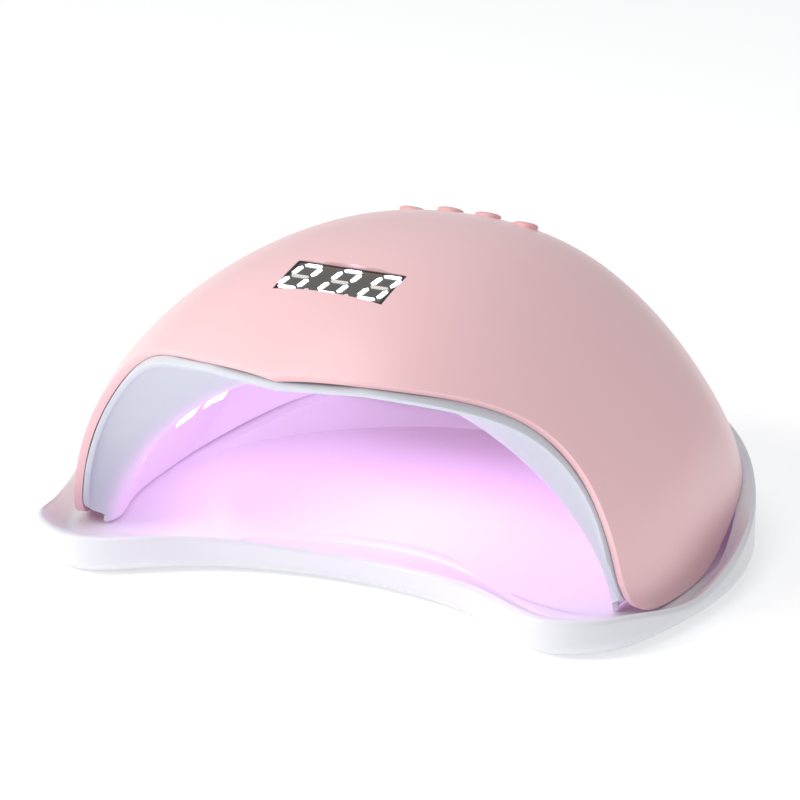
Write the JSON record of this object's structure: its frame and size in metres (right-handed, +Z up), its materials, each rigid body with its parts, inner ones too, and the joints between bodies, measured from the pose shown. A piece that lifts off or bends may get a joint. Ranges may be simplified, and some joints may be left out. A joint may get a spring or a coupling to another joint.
{
  "type": "uv led nail lamp",
  "caption": "Domed UV LED nail curing lamp on a loose base tray, with an open-fronted lit hand chamber, a tilted time display and a row of round timer push buttons.",
  "frame": {"origin": "centre of the bounding box on the table, under the dome and between the tray's front lobes and its rear", "axes": "+X to the lamp's right as seen from the front, +Y to the rear with the power inlet, -Y to the hand opening, +Z up"},
  "size_m": [0.2082, 0.1901, 0.096],
  "materials": {
    "shell_pink": "satin",
    "chamber_white": "satin",
    "base_white": "satin",
    "button_pink": "satin",
    "display_black": "matte",
    "display_grey": "satin",
    "segment_white": "lit",
    "board_green": "satin",
    "component_black": "matte",
    "chip_yellow": "satin",
    "lens_clear": "clear",
    "sensor_dark": "gloss",
    "inlet_black": "gloss",
    "pin_metal": "satin",
    "magnet_metal": "bright",
    "screw_steel": "satin",
    "foot_rubber": "matte",
    "lead_black": "matte"
  },
  "bodies": {
    "base": {"base_tray": "base_white", "rubber_feet": "foot_rubber", "base_magnets": "magnet_metal"},
    "lamp": {"top_shell": "shell_pink", "inner_chamber": "chamber_white", "display_module": "display_black", "display_face": "display_grey", "display_segments": "segment_white", "display_board": "board_green", "board_parts": "component_black", "button_board": "board_green", "button_switches": "component_black", "led_board_left": "board_green", "led_board_right": "board_green", "led_board_top": "board_green", "led_chips_left": "chip_yellow", "led_chips_right": "chip_yellow", "led_chips_top": "chip_yellow", "led_lenses_left": "lens_clear", "led_lenses_right": "lens_clear", "led_lenses_top": "lens_clear", "sensor_windows": "sensor_dark", "ir_sensors": "component_black", "dc_inlet": "inlet_black", "inlet_pin": "pin_metal", "power_lead": "lead_black", "lamp_magnets": "magnet_metal", "board_screws": "screw_steel"},
    "button_1": {"timer_button_1": "button_pink", "switch_plunger_1": "component_black"},
    "button_2": {"timer_button_2": "button_pink", "switch_plunger_2": "component_black"},
    "button_3": {"timer_button_3": "button_pink", "switch_plunger_3": "component_black"},
    "button_4": {"timer_button_4": "button_pink", "switch_plunger_4": "component_black"}
  },
  "joints": [
    {"name": "lamp_lift", "type": "slide", "parent": "base", "child": "lamp", "axis": [0, 0, 1], "range_m": [0, 0.1]},
    {"name": "timer_button_1_press", "type": "slide", "parent": "lamp", "child": "button_1", "axis": [0, -0.3665, -0.9304], "range_m": [0, 0.0005], "stiffness_N_per_m": 2500},
    {"name": "timer_button_2_press", "type": "slide", "parent": "lamp", "child": "button_2", "axis": [0, -0.3665, -0.9304], "range_m": [0, 0.0005], "stiffness_N_per_m": 2500},
    {"name": "timer_button_3_press", "type": "slide", "parent": "lamp", "child": "button_3", "axis": [0, -0.3665, -0.9304], "range_m": [0, 0.0005], "stiffness_N_per_m": 2500},
    {"name": "timer_button_4_press", "type": "slide", "parent": "lamp", "child": "button_4", "axis": [0, -0.3665, -0.9304], "range_m": [0, 0.0005], "stiffness_N_per_m": 2500}
  ]
}
